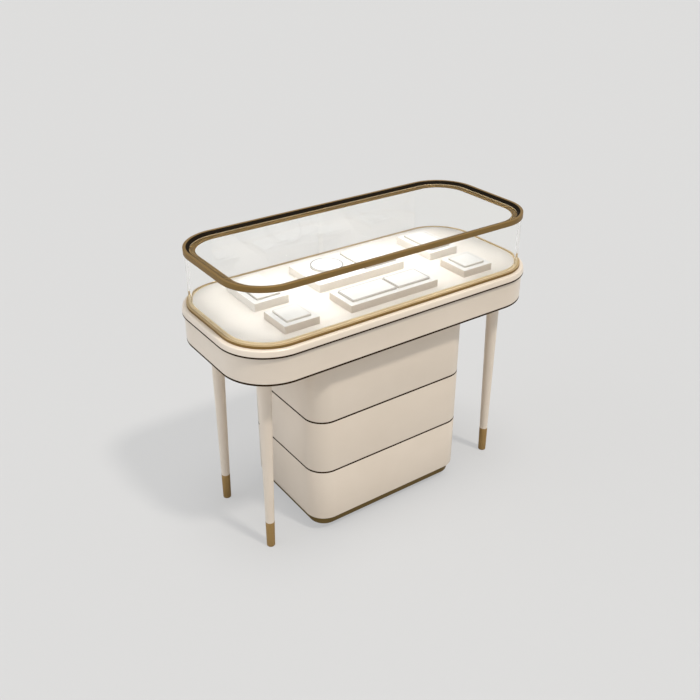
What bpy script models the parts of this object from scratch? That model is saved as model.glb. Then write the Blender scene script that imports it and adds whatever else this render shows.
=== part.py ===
"""Glass jewelry showcase: round-cornered glass case on a table top with four legs and a pedestal.

Metres, +Z up. The customers' side faces -Y and the staff side faces +Y.
The origin is on the floor, under the middle of the table top.
"""

import math

import bmesh
import bpy

# Clearances
FIT = 0.0003
SLIDE_FIT = 0.0004
DOOR_END_GAP = 0.0015
DRAWER_GAP = 0.002

# Table top and apron
TABLE_HEIGHT = 0.8115
TOP_LENGTH = 1.200
TOP_DEPTH = 0.552
TOP_CORNER = 0.170
TOP_THICK = 0.020
TOP_ROUND = 0.006
TOP_LEAN = 0.004
LINE_THICK = 0.005
APRON_HEIGHT = 0.0895
APRON_SETBACK = 0.0065

# Glass case, with setbacks measured inwards from the edge of the table top
GLASS_SETBACK = 0.0252
CHANNEL_SETBACK = 0.0162
CHANNEL_HEIGHT = 0.0097
CHANNEL_ROUND = 0.0012
CHANNEL_FLOOR = 0.0075
CHANNEL_LAND = 0.001
PLATE_RISE = 0.0125
CASE_HEIGHT = 0.197
RIM_SETBACK = 0.0215
RIM_HEIGHT = 0.0188
RIM_LAND = 0.0095
RIM_SLOPE_DROP = 0.0095
RIM_SIDE = 0.0041
RIM_GROOVE_DEPTH = 0.008
RIM_EDGE = 0.001
LEDGE_WIDTH = 0.0204
LEDGE_THICK = 0.0042
PANE_THICK = 0.006
SEAL_THICK = 0.0012
DOOR_THICK = 0.004
DOOR_SPACING = 0.006
DOOR_LAP = 0.023
DOOR_LIFT = 0.004
GRIP_HEIGHT = 0.060
GRIP_WIDTH = 0.018
GRIP_DEPTH = 0.0015
GRIP_SLOPE = 0.003
GRIP_EDGE = 0.045
LED_WIDTH = 0.008
LED_THICK = 0.0022
LED_WALL = 0.003

# Pedestal
PEDESTAL_END_INSET = 0.279
PEDESTAL_SIDE_INSET = 0.0525
PEDESTAL_LENGTH = TOP_LENGTH - 2 * PEDESTAL_END_INSET
PEDESTAL_DEPTH = TOP_DEPTH - 2 * PEDESTAL_SIDE_INSET
PEDESTAL_CORNER = 0.0715
PEDESTAL_WALL = 0.018
PEDESTAL_SHIFT = -0.016
LOWER_TIER = 0.2013
MIDDLE_TIER = 0.1945
BASE_BOARD = 0.015
PLINTH_HEIGHT = 0.0317
PLINTH_SETBACK = 0.016
PLINTH_WALL = 0.010
FOOT_CLEAR = 0.0235
FOOT_RADIUS = 0.022
FOOT_INSET = 0.024

# Drawers
DRAWER_FRONT_THICK = 0.018
DRAWER_WALL = 0.010
DRAWER_FLOOR = 0.008
DRAWER_HEAD_ROOM = 0.045
DRAWER_BACK_ROOM = 0.018
RUNNER_LEDGE = 0.026
RUNNER_THICK = 0.010
RUNNER_GUIDE = 0.030
PULL_DEPTH = 0.010
PULL_HEIGHT = 0.022

# Light supply and cord gland
DRIVER_LENGTH = 0.150
DRIVER_HEIGHT = 0.040
DRIVER_THICK = 0.026
DRIVER_DROP = 0.030
GLAND_RADIUS = 0.010
GLAND_BORE = 0.005
GLAND_FLANGE = 0.004
GLAND_FLANGE_THICK = 0.003
GLAND_INSET = 0.030

# Legs
LEG_END_INSET = 0.109
LEG_SIDE_INSET = 0.116
LEG_TOP_RADIUS = 0.023
LEG_FOOT_RADIUS = 0.015
LEG_LEAN = 0.010
FERRULE_HEIGHT = 0.090
FERRULE_STEP = 0.0006
FERRULE_TAPER = 0.0012
FERRULE_ROUND = 0.003

# Display risers
RISER_SHIFT = -0.0114
RISER_END_GAP = 0.1464
RISER_FRONT_GAP = 0.0305
RISER_BACK_GAP = 0.0738
RISER_ROW_GAP = 0.0542
RISER_SIDE_GAP = 0.1165
RISER_WIDTH = 0.1255
FRONT_RISER_DEPTH = 0.1263
FRONT_RISER_HEIGHT = 0.025
BACK_RISER_HEIGHT = 0.0275
RISER_ROUND = 0.003
PAD_MARGIN = 0.0184
PAD_HEIGHT = 0.006
PAD_GAP = 0.004
PAD_SPLIT = 0.021
ROUND_PAD = 0.116

# Facets
CORNER_STEPS = 10
SMALL_STEPS = 3
ROUND_STEPS = 24

# Levels, from the floor up
PLINTH_FOOT = FOOT_CLEAR
LOWER_FOOT = PLINTH_FOOT + PLINTH_HEIGHT
LOWER_LINE = LOWER_FOOT + LOWER_TIER
MIDDLE_FOOT = LOWER_LINE + LINE_THICK
UPPER_LINE = MIDDLE_FOOT + MIDDLE_TIER
UPPER_FOOT = UPPER_LINE + LINE_THICK
DECK = TABLE_HEIGHT
TOP_FOOT = DECK - TOP_THICK
TOP_LINE = TOP_FOOT - LINE_THICK
APRON_FOOT = TOP_LINE - APRON_HEIGHT
APRON_LINE = APRON_FOOT - LINE_THICK
PLATE = DECK + PLATE_RISE
CHANNEL_TOP = DECK + CHANNEL_HEIGHT
RIM_TOP = DECK + CASE_HEIGHT
RIM_FOOT = RIM_TOP - RIM_HEIGHT
PANE_LEDGE = RIM_FOOT + LEDGE_THICK
RIM_GROOVE = RIM_FOOT + RIM_GROOVE_DEPTH

# Lines of the case, as setbacks from the edge of the table top
OUTER_DOOR = GLASS_SETBACK
INNER_DOOR = OUTER_DOOR + DOOR_SPACING
GLASS_INNER = INNER_DOOR + DOOR_THICK
TRACK_OUTER = GLASS_SETBACK - FIT
TRACK_INNER = GLASS_INNER + FIT
CHANNEL_INNER = TRACK_INNER + CHANNEL_LAND
PLATE_EDGE = CHANNEL_INNER + FIT
RIM_BROW = RIM_SETBACK + RIM_LAND
RIM_STEP = TRACK_INNER + RIM_SIDE
RIM_INNER = RIM_STEP + LEDGE_WIDTH
LED_OUTER = RIM_STEP + LED_WALL
LED_INNER = LED_OUTER + LED_WIDTH + 2 * FIT
DECK_EDGE = (CHANNEL_SETBACK + CHANNEL_INNER) / 2
STRAIGHT = TOP_LENGTH / 2 - TOP_CORNER

MATERIALS = {}


def material(name, colour, roughness, metallic=0.0, transmission=0.0, emission=0.0):
    """One Principled material for each sort of surface."""
    if name in MATERIALS:
        return MATERIALS[name]
    made = bpy.data.materials.new(name)
    made.use_nodes = True
    shader = made.node_tree.nodes["Principled BSDF"]
    shader.inputs["Base Color"].default_value = (*colour, 1.0)
    shader.inputs["Roughness"].default_value = roughness
    shader.inputs["Metallic"].default_value = metallic
    shader.inputs["Transmission Weight"].default_value = transmission
    shader.inputs["Emission Color"].default_value = (*colour, 1.0)
    shader.inputs["Emission Strength"].default_value = emission
    made.diffuse_color = (*colour, 1.0)
    MATERIALS[name] = made
    return made


def lacquer():
    return material("cream_lacquer", (0.68, 0.59, 0.49), 0.38)


def brass():
    return material("brushed_brass", (0.36, 0.22, 0.07), 0.32, 1.0)


def dark_line():
    return material("dark_bronze_line", (0.05, 0.033, 0.02), 0.45, 0.3)


def glass():
    return material("clear_glass", (0.93, 0.96, 0.95), 0.02, 0.0, 1.0)


def deck_white():
    return material("display_white", (0.87, 0.84, 0.80), 0.55)


def birch():
    return material("drawer_birch", (0.60, 0.47, 0.31), 0.55)


def black():
    return material("black_rubber", (0.02, 0.02, 0.02), 0.6)


def steel():
    return material("driver_aluminium", (0.55, 0.55, 0.56), 0.4, 0.9)


def diode():
    return material("light_strip", (1.0, 0.93, 0.82), 0.4, 0.0, 0.0, 2.0)


def rounded(half_x, half_y, radius, steps=CORNER_STEPS):
    """Outline of a rectangle with round corners, counter-clockwise from the +X side."""
    points = []
    corners = ((1, 1), (-1, 1), (-1, -1), (1, -1))
    for index, (sx, sy) in enumerate(corners):
        cx = sx * (half_x - radius)
        cy = sy * (half_y - radius)
        for step in range(steps + 1):
            angle = math.pi / 2 * (index + step / steps)
            x = cx + radius * math.cos(angle)
            y = cy + radius * math.sin(angle)
            points.append((x, y))
    return points


def outline(setback):
    """Outline of the table top, moved inwards by a setback."""
    return rounded(TOP_LENGTH / 2 - setback, TOP_DEPTH / 2 - setback, TOP_CORNER - setback)


def pedestal_outline(setback):
    """Outline of the pedestal, moved inwards by a setback."""
    half_x = PEDESTAL_LENGTH / 2 - setback
    half_y = PEDESTAL_DEPTH / 2 - setback
    return rounded(half_x, half_y, PEDESTAL_CORNER - setback)


def level(points, z):
    return [(x, y, z) for x, y in points]


def finish(bm, name, surface, location=(0, 0, 0), parent=None, smooth=0.6):
    """Turn a bmesh into a named object, with its faces pointing out."""
    bmesh.ops.remove_doubles(bm, verts=bm.verts, dist=0.000001)
    bmesh.ops.recalc_face_normals(bm, faces=bm.faces)
    mesh = bpy.data.meshes.new(name)
    bm.to_mesh(mesh)
    bm.free()
    mesh.shade_smooth()
    mesh.set_sharp_from_angle(angle=smooth)
    made = bpy.data.objects.new(name, mesh)
    bpy.context.collection.objects.link(made)
    made.location = location
    made.parent = parent
    if surface:
        mesh.materials.append(surface)
    return made


def loft(loops, name, surface, closed=False, **where):
    """Skin over loops of equal length: capped at both ends, or joined back to the first."""
    bm = bmesh.new()
    rows = [[bm.verts.new(point) for point in loop] for loop in loops]
    pairs = list(zip(rows, rows[1:]))
    if closed:
        pairs.append((rows[-1], rows[0]))
    for low, high in pairs:
        count = len(low)
        for i in range(count):
            j = (i + 1) % count
            bm.faces.new((low[i], low[j], high[j], high[i]))
    if not closed:
        bm.faces.new(list(reversed(rows[0])))
        bm.faces.new(rows[-1])
    return finish(bm, name, surface, **where)


def prism(points, z0, z1, name, surface, **where):
    """Flat outline, extruded upwards."""
    return loft([level(points, z0), level(points, z1)], name, surface, **where)


def prism_along(points, axis, start, end, name, surface, **where):
    """Section extruded along X (points are y, z) or along Y (points are x, z)."""
    if axis == "X":
        loops = [[(s, a, b) for a, b in points] for s in (start, end)]
    else:
        loops = [[(a, s, b) for a, b in points] for s in (start, end)]
    return loft(loops, name, surface, **where)


def turned(profile, name, surface, steps=ROUND_STEPS, lean=0.0, **where):
    """Solid turned about Z from (radius, z) pairs, closed by flat ends. Lean is X per Z."""
    loops = []
    for radius, z in profile:
        ring = []
        for i in range(steps):
            angle = 2 * math.pi * i / steps
            ring.append((lean * z + radius * math.cos(angle), radius * math.sin(angle), z))
        loops.append(ring)
    return loft(loops, name, surface, **where)


def swept(profile, name, surface):
    """Frame that follows the table top's outline, from (setback, z) pairs of its section."""
    loops = [level(outline(setback), z) for setback, z in profile]
    return loft(loops, name, surface, closed=True)


def box(x0, x1, y0, y1, z0, z1, name, surface, **where):
    return prism([(x0, y0), (x1, y0), (x1, y1), (x0, y1)], z0, z1, name, surface, **where)


def boolean(target, tool, operation="DIFFERENCE"):
    """Cut a piece by a tool, or join the tool to it. The tool stays as a hidden wire."""
    step = target.modifiers.new(tool.name, "BOOLEAN")
    step.object = tool
    step.operation = operation
    step.solver = "EXACT"
    tool.hide_render = True
    tool.display_type = "WIRE"
    return target


def guide(name, location, parent=None):
    """Empty that carries a group of pieces, such as a slide on its own line."""
    made = bpy.data.objects.new(name, None)
    bpy.context.collection.objects.link(made)
    made.location = location
    made.parent = parent
    made.empty_display_size = PEDESTAL_CORNER
    return made


def bent_run(outer, inner, side):
    """Outline of a bent end glass: two quarter bends and the end between them."""
    near = outline(outer)
    far = outline(inner)
    span = CORNER_STEPS + 1
    if side > 0:
        picks = list(range(3 * span, 4 * span)) + list(range(span))
    else:
        picks = list(range(span, 3 * span))
    return [near[i] for i in picks] + [far[i] for i in reversed(picks)]


def round_over(setback, radius, top):
    """Upper outer corner of a section, rounded off: (setback, z) pairs from below."""
    pairs = []
    for step in range(SMALL_STEPS + 1):
        angle = math.pi / 2 * step / SMALL_STEPS
        pairs.append((setback + radius * (1 - math.cos(angle)), top - radius * (1 - math.sin(angle))))
    return pairs


def table():
    """Top frame, display deck with its raised plate, apron and its two dark lines."""
    rise = TOP_ROUND / SMALL_STEPS
    profile = [(DECK_EDGE - FIT, TOP_FOOT), (0.0, TOP_FOOT)]
    profile += round_over(TOP_LEAN, TOP_ROUND, DECK - FIT)
    profile.append((DECK_EDGE - FIT, DECK - FIT))
    swept(profile, "table_top", lacquer())
    loops = [
        level(outline(DECK_EDGE), TOP_FOOT),
        level(outline(DECK_EDGE), DECK - FIT),
        level(outline(PLATE_EDGE), DECK - FIT),
        level(outline(PLATE_EDGE), PLATE),
    ]
    loft(loops, "display_deck", deck_white())
    prism(outline(rise / 4), TOP_LINE, TOP_FOOT - FIT, "apron_upper_line", dark_line())
    prism(outline(APRON_SETBACK), APRON_FOOT, TOP_LINE - FIT, "apron_band", lacquer())
    prism(outline(APRON_SETBACK), APRON_LINE, APRON_FOOT - FIT, "apron_lower_line", dark_line())


def track_rib(target, z0, z1, name):
    """Rib along the rear that parts the groove into the tracks of the two doors."""
    y1 = TOP_DEPTH / 2 - OUTER_DOOR - DOOR_THICK - FIT
    y0 = TOP_DEPTH / 2 - INNER_DOOR + FIT
    half = STRAIGHT - DOOR_END_GAP
    boolean(target, box(-half, half, y0, y1, z0, z1, name, None), "UNION")


def base_channel():
    """Low brass channel that holds the foot of the glass, with the deck's plate inside it."""
    floor = DECK + CHANNEL_FLOOR
    profile = [(CHANNEL_INNER, DECK), (CHANNEL_SETBACK, DECK)]
    profile += round_over(CHANNEL_SETBACK, CHANNEL_ROUND, CHANNEL_TOP)
    profile += [(TRACK_OUTER, CHANNEL_TOP), (TRACK_OUTER, floor), (TRACK_INNER, floor)]
    profile += [(TRACK_INNER, CHANNEL_TOP), (CHANNEL_INNER, CHANNEL_TOP)]
    channel = swept(profile, "glass_base_channel", brass())
    track_rib(channel, DECK + CHANNEL_FLOOR / 2, CHANNEL_TOP, "channel_rib")


def top_rim():
    """Brass rim on top of the glass, its seal, the top pane and the light strips."""
    slope_foot = RIM_TOP - RIM_SLOPE_DROP
    profile = [
        (RIM_SETBACK + RIM_EDGE / 2, RIM_FOOT),
        (RIM_SETBACK, RIM_FOOT + RIM_EDGE / 2),
        (RIM_SETBACK, RIM_TOP - RIM_EDGE),
        (RIM_SETBACK + RIM_EDGE, RIM_TOP),
        (RIM_BROW, RIM_TOP),
        (RIM_STEP, slope_foot),
        (RIM_STEP, PANE_LEDGE),
        (RIM_INNER, PANE_LEDGE),
        (RIM_INNER, RIM_FOOT),
        (TRACK_INNER, RIM_FOOT),
        (TRACK_INNER, RIM_GROOVE),
        (TRACK_OUTER, RIM_GROOVE),
        (TRACK_OUTER, RIM_FOOT),
    ]
    rim = swept(profile, "top_rim", brass())
    rib_head = (RIM_GROOVE + min(RIM_TOP - RIM_SLOPE_DROP / 2, RIM_TOP)) / 2
    track_rib(rim, RIM_FOOT + RIM_EDGE, rib_head, "rim_rib")
    pane_foot = PANE_LEDGE + FIT
    pane_face = pane_foot + PANE_THICK
    wall = RIM_STEP + FIT
    run = RIM_STEP - RIM_BROW
    along = math.hypot(run, RIM_SLOPE_DROP)
    lean = (RIM_SLOPE_DROP / along, run / along)
    cover = FIT + SEAL_THICK
    seal = [
        (wall, pane_foot),
        (wall, slope_foot + FIT * lean[1]),
        (RIM_BROW + FIT * lean[0], RIM_TOP + FIT * lean[1] - FIT),
        (RIM_BROW + cover * lean[0], RIM_TOP + cover * lean[1] - SEAL_THICK),
        (wall + SEAL_THICK, slope_foot + cover * lean[1]),
        (wall + SEAL_THICK, pane_foot),
    ]
    swept(seal, "top_pane_seal", black())
    edge = wall + SEAL_THICK + FIT
    ease = RIM_EDGE / 2
    loops = [
        level(outline(edge), pane_foot),
        level(outline(edge), pane_face - ease),
        level(outline(edge + ease), pane_face),
    ]
    loft(loops, "top_pane", glass())
    for side, name in ((-1, "front"), (1, "rear")):
        light_strip(rim, side, name)


def light_strip(rim, side, name):
    """Strip of diodes in a groove under one long side of the rim."""
    outer = side * (TOP_DEPTH / 2 - LED_OUTER)
    inner = side * (TOP_DEPTH / 2 - LED_INNER)
    y0, y1 = sorted((outer, inner))
    below = RIM_FOOT - RIM_GROOVE_DEPTH
    roof = RIM_FOOT + LED_THICK + FIT
    cut = box(-STRAIGHT, STRAIGHT, y0, y1, below, roof, "rim_light_cut_" + name, None)
    boolean(rim, cut)
    half = STRAIGHT - FIT
    strip = f"light_strip_{name}"
    box(-half, half, y0 + FIT, y1 - FIT, RIM_FOOT, RIM_FOOT + LED_THICK, strip, diode())


def case_glass():
    """Fixed glass: a flat front and two bent ends."""
    foot = DECK + CHANNEL_FLOOR + FIT
    head = RIM_GROOVE - FIT
    outer = GLASS_SETBACK
    inner = GLASS_INNER
    half = STRAIGHT - FIT
    y0 = -TOP_DEPTH / 2 + outer
    y1 = -TOP_DEPTH / 2 + inner
    box(-half, half, y0, y1, foot, head, "front_glass", glass())
    prism(bent_run(outer, inner, -1), foot, head, "left_end_glass", glass())
    prism(bent_run(outer, inner, 1), foot, head, "right_end_glass", glass())


def sliding_door(name, side, setback):
    """Frameless glass door in its track, with a ground finger grip. Side is the end it closes."""
    y1 = TOP_DEPTH / 2 - setback
    middle = y1 - DOOR_THICK / 2
    foot = DECK + CHANNEL_FLOOR + FIT
    head = RIM_GROOVE - DOOR_LIFT
    end = side * (STRAIGHT - DOOR_END_GAP)
    lap = -side * DOOR_LAP / 2
    x0, x1 = sorted((end, lap))
    grip_x = end - side * GRIP_EDGE
    grip_z = (CHANNEL_TOP + RIM_FOOT) / 2
    pivot = (grip_x, middle, grip_z)
    carrier = guide(name + "_slide", pivot)
    half = DOOR_THICK / 2
    pane = box(
        x0 - grip_x,
        x1 - grip_x,
        -half,
        half,
        foot - grip_z,
        head - grip_z,
        name,
        glass(),
        parent=carrier,
    )
    loops = []
    for y, slope in ((half - GRIP_DEPTH, GRIP_SLOPE), (half + GRIP_DEPTH, -GRIP_SLOPE)):
        half_x = GRIP_WIDTH / 2 - slope
        half_z = GRIP_HEIGHT / 2 - slope
        loops.append([(x, y, z) for x, z in rounded(half_x, half_z, half_x, SMALL_STEPS + 1)])
    boolean(pane, loft(loops, name + "_grip_cut", None, parent=carrier))


def tier(name, z0, z1, centre):
    """Lacquered shell of one tier of the pedestal, open to the staff side."""
    outer = pedestal_outline(0.0)
    inner = pedestal_outline(PEDESTAL_WALL)
    half = drawer_opening()
    rear = PEDESTAL_DEPTH / 2
    span = CORNER_STEPS + 1
    picks = list(range(span, 4 * span)) + list(range(span))
    points = [(-half, rear)] + [outer[i] for i in picks] + [(half, rear)]
    points += [(half, rear - PEDESTAL_WALL)] + [inner[i] for i in reversed(picks)]
    points.append((-half, rear - PEDESTAL_WALL))
    prism(points, z0, z1 - FIT, name, lacquer(), parent=centre)


def drawer_opening():
    """Half width of the openings on the staff side, between the round corners."""
    return PEDESTAL_LENGTH / 2 - PEDESTAL_CORNER - DRAWER_GAP


def pedestal(centre):
    """Three tiers, the dark lines between them, base board, plinth band, feet and cord gland."""
    tier("lower_tier", LOWER_FOOT, LOWER_LINE, centre)
    tier("middle_tier", MIDDLE_FOOT, UPPER_LINE, centre)
    tier("upper_tier", UPPER_FOOT, APRON_LINE, centre)
    for name, z0, z1 in (("lower", LOWER_LINE, MIDDLE_FOOT), ("upper", UPPER_LINE, UPPER_FOOT)):
        line = f"{name}_pedestal_line"
        prism(pedestal_outline(0.0), z0, z1 - FIT, line, dark_line(), parent=centre)
    board_outline = pedestal_outline(PEDESTAL_WALL + FIT)
    board_top = LOWER_FOOT + BASE_BOARD
    board_name = "pedestal_base_board"
    board = prism(board_outline, LOWER_FOOT, board_top, board_name, birch(), parent=centre)
    gland_y = -PEDESTAL_DEPTH / 2 + PLINTH_SETBACK + PLINTH_WALL + GLAND_INSET
    hole = turned(
        [(GLAND_RADIUS + FIT, LOWER_FOOT - BASE_BOARD), (GLAND_RADIUS + FIT, board_top + BASE_BOARD)],
        "gland_cut",
        None,
        location=(0, gland_y, 0),
        parent=centre,
    )
    boolean(board, hole)
    cord_gland(gland_y, board_top, centre)
    outer = pedestal_outline(PLINTH_SETBACK)
    inner = pedestal_outline(PLINTH_SETBACK + PLINTH_WALL)
    head = LOWER_FOOT - FIT
    loops = [level(outer, PLINTH_FOOT), level(outer, head), level(inner, head), level(inner, PLINTH_FOOT)]
    loft(loops, "plinth_band", brass(), closed=True, parent=centre)
    reach = PLINTH_SETBACK + PLINTH_WALL + FOOT_INSET + FOOT_RADIUS
    foot_x = PEDESTAL_LENGTH / 2 - reach
    foot_y = PEDESTAL_DEPTH / 2 - reach
    profile = [
        (FOOT_RADIUS * 0.9, 0.0),
        (FOOT_RADIUS, FOOT_CLEAR / 6),
        (FOOT_RADIUS, FOOT_CLEAR / 2),
        (FOOT_RADIUS * 0.5, FOOT_CLEAR * 0.6),
        (FOOT_RADIUS * 0.5, LOWER_FOOT - FIT),
    ]
    for name, sx, sy in corners():
        where = (sx * foot_x, sy * foot_y, 0)
        foot = "pedestal_foot_" + name
        turned(profile, foot, black(), steps=16, location=where, parent=centre)


def cord_gland(y, board_top, centre):
    """Gland in the base board for the supply cord, open through its middle."""
    loops = []
    face = board_top + FIT
    section = [
        (GLAND_BORE, LOWER_FOOT),
        (GLAND_RADIUS, LOWER_FOOT),
        (GLAND_RADIUS, face),
        (GLAND_RADIUS + GLAND_FLANGE, face),
        (GLAND_RADIUS + GLAND_FLANGE, face + GLAND_FLANGE_THICK),
        (GLAND_BORE, face + GLAND_FLANGE_THICK),
    ]
    for radius, z in section:
        ring = []
        for i in range(16):
            angle = 2 * math.pi * i / 16
            ring.append((radius * math.cos(angle), radius * math.sin(angle), z))
        loops.append(ring)
    loft(loops, "cord_gland", black(), closed=True, location=(0, y, 0), parent=centre)


def corners():
    return (
        ("front_left", -1, -1),
        ("front_right", 1, -1),
        ("rear_left", -1, 1),
        ("rear_right", 1, 1),
    )


def drawer(name, foot, head, centre):
    """Drawer of one tier: front, open box and the pair of runners that carry it."""
    opening = drawer_opening()
    rear = PEDESTAL_DEPTH / 2
    inside = PEDESTAL_LENGTH / 2 - PEDESTAL_WALL - FIT
    front_half = opening - DRAWER_GAP
    box_half = front_half - DRAWER_GAP
    back = -PEDESTAL_DEPTH / 2 + PEDESTAL_WALL + DRAWER_BACK_ROOM
    seat = foot + RUNNER_THICK + FIT
    box_foot = seat + SLIDE_FIT
    box_head = head - DRAWER_HEAD_ROOM
    front_inner = rear - DRAWER_FRONT_THICK
    pivot = (0, rear, (box_foot + box_head) / 2)
    carrier = guide(name + "_slide", pivot, centre)
    px, py, pz = pivot
    front_foot = foot + DRAWER_GAP - pz
    front_head = head - FIT - DRAWER_GAP - pz
    y1 = rear - py
    y0 = front_inner - py
    lip = front_head - PULL_HEIGHT
    section = [
        (y0, front_foot),
        (y1, front_foot),
        (y1, lip),
        (y1 - PULL_DEPTH, lip + PULL_DEPTH / 2),
        (y1 - PULL_DEPTH, front_head),
        (y0, front_head),
    ]
    prism_along(section, "X", -front_half, front_half, name + "_front", lacquer(), parent=carrier)
    shell = box(
        -box_half,
        box_half,
        back - py,
        y0 - FIT,
        box_foot - pz,
        box_head - pz,
        name + "_box",
        birch(),
        parent=carrier,
    )
    hollow = box(
        -box_half + DRAWER_WALL,
        box_half - DRAWER_WALL,
        back - py + DRAWER_WALL,
        y0 - FIT - DRAWER_WALL,
        box_foot - pz + DRAWER_FLOOR,
        box_head - pz + DRAWER_FLOOR,
        name + "_hollow_cut",
        None,
        parent=carrier,
    )
    boolean(shell, hollow)
    for side, hand in ((-1, "left"), (1, "right")):
        section = [
            (side * (box_half - RUNNER_LEDGE), foot + FIT),
            (side * inside, foot + FIT),
            (side * inside, seat + RUNNER_GUIDE),
            (side * (box_half + DRAWER_GAP), seat + RUNNER_GUIDE),
            (side * (box_half + DRAWER_GAP), seat),
            (side * (box_half - RUNNER_LEDGE), seat),
        ]
        corner = PEDESTAL_CORNER - PEDESTAL_WALL
        start = -PEDESTAL_DEPTH / 2 + PEDESTAL_WALL + corner
        end = rear - PEDESTAL_WALL - corner
        runner = f"{name}_runner_{hand}"
        prism_along(section, "Y", start, end, runner, birch(), parent=centre)


def drawers(centre):
    drawer("lower_drawer", LOWER_FOOT + BASE_BOARD, LOWER_LINE, centre)
    drawer("middle_drawer", MIDDLE_FOOT, UPPER_LINE, centre)
    drawer("upper_drawer", UPPER_FOOT, APRON_LINE, centre)


def light_driver(centre):
    """Supply of the light strips, on the side wall of the upper tier above the drawer runner."""
    wall = -PEDESTAL_LENGTH / 2 + PEDESTAL_WALL + FIT
    top = APRON_LINE - DRIVER_DROP
    foot = top - DRIVER_HEIGHT
    ease = DRIVER_THICK / 8
    far = wall + DRIVER_THICK
    section = [
        (wall, foot),
        (far - ease, foot),
        (far, foot + ease),
        (far, top - ease),
        (far - ease, top),
        (wall, top),
    ]
    half = DRIVER_LENGTH / 2
    prism_along(section, "Y", -half, half, "light_driver", steel(), parent=centre)


def legs():
    """Four round tapered legs, each in a brass ferrule."""
    leg_x = TOP_LENGTH / 2 - LEG_END_INSET
    leg_y = TOP_DEPTH / 2 - LEG_SIDE_INSET
    leg_profile = [
        (LEG_FOOT_RADIUS, FERRULE_HEIGHT + FIT),
        (LEG_TOP_RADIUS, APRON_LINE - FIT),
    ]
    head = LEG_FOOT_RADIUS + FERRULE_STEP
    toe = head - FERRULE_TAPER
    ferrule_profile = [
        (toe - FERRULE_ROUND, 0.0),
        (toe - FERRULE_ROUND * 0.3, FERRULE_ROUND * 0.3),
        (toe, FERRULE_ROUND),
        (head, FERRULE_HEIGHT),
    ]
    for name, sx, sy in corners():
        where = (sx * leg_x, sy * leg_y, 0)
        lean = -sx * LEG_LEAN / APRON_LINE
        turned(leg_profile, "leg_" + name, lacquer(), lean=lean, location=where)
        turned(ferrule_profile, "ferrule_" + name, brass(), lean=lean, location=where)


def riser(name, x0, x1, y0, y1, height, split=None, disc=None):
    """Low display block with a raised pad, two pads side by side, or a round pad and a pad."""
    cx = (x0 + x1) / 2 + RISER_SHIFT
    cy = (y0 + y1) / 2
    half_x = (x1 - x0) / 2
    half_y = (y1 - y0) / 2
    base = rounded(half_x, half_y, RISER_ROUND, SMALL_STEPS)
    where = (cx, cy, PLATE)
    ease = RISER_ROUND / 3
    top = rounded(half_x - ease, half_y - ease, RISER_ROUND - ease, SMALL_STEPS)
    loops = [level(base, 0.0), level(base, height - ease), level(top, height)]
    block = loft(loops, name, deck_white(), location=where)
    reach_x = half_x - PAD_MARGIN
    reach_y = half_y - PAD_MARGIN
    spans = [(-reach_x, reach_x)]
    if split is not None:
        spans = [(-reach_x, split - PAD_GAP / 2), (split + PAD_GAP / 2, reach_x)]
    if disc is not None:
        first = spans.pop(0)
        middle = (first[0] + first[1]) / 2
        sink = height - RISER_ROUND
        face = height + PAD_HEIGHT
        rounds = [(disc / 2, sink), (disc / 2, face - ease), (disc / 2 - ease, face)]
        spot = (cx + middle, cy + reach_y - disc / 2, PLATE)
        boolean(block, turned(rounds, name + "_round_pad", None, location=spot), "UNION")
    for index, (a, b) in enumerate(spans):
        pad = rounded((b - a) / 2, reach_y, RISER_ROUND, SMALL_STEPS)
        brow = rounded((b - a) / 2 - ease, reach_y - ease, RISER_ROUND - ease, SMALL_STEPS)
        loops = [
            level(pad, height - RISER_ROUND),
            level(pad, height + PAD_HEIGHT - ease),
            level(brow, height + PAD_HEIGHT),
        ]
        spot = (cx + (a + b) / 2, cy, PLATE)
        boolean(block, loft(loops, f"{name}_pad_{index}", None, location=spot), "UNION")


def risers():
    """Two rows of three: the outer ones keep their width, the middle ones fill what is left."""
    inner_x = TOP_LENGTH / 2 - CHANNEL_INNER
    inner_y = TOP_DEPTH / 2 - CHANNEL_INNER
    end = inner_x - RISER_END_GAP
    near = end - RISER_WIDTH
    middle = near - RISER_SIDE_GAP
    front = -inner_y + RISER_FRONT_GAP
    front_back = front + FRONT_RISER_DEPTH
    back_front = front_back + RISER_ROW_GAP
    back = inner_y - RISER_BACK_GAP
    low = FRONT_RISER_HEIGHT
    high = BACK_RISER_HEIGHT
    riser("front_left_riser", -end, -near, front, front_back, low)
    riser("front_middle_riser", -middle, middle, front, front_back, low, PAD_SPLIT)
    riser("front_right_riser", near, end, front, front_back, low)
    riser("back_left_riser", -end, -near, back_front, back, high)
    riser("back_middle_riser", -middle, middle, back_front, back, high, PAD_SPLIT, ROUND_PAD)
    riser("back_right_riser", near, end, back_front, back, high)


def build():
    for old in list(bpy.data.objects):
        bpy.data.objects.remove(old, do_unlink=True)
    table()
    base_channel()
    case_glass()
    top_rim()
    sliding_door("left_door", -1, OUTER_DOOR)
    sliding_door("right_door", 1, INNER_DOOR)
    risers()
    centre = guide("pedestal_centre", (PEDESTAL_SHIFT, 0, 0))
    pedestal(centre)
    drawers(centre)
    light_driver(centre)
    legs()


build()
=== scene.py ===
import math

import bmesh
import bpy
from mathutils import Matrix, Vector


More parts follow.
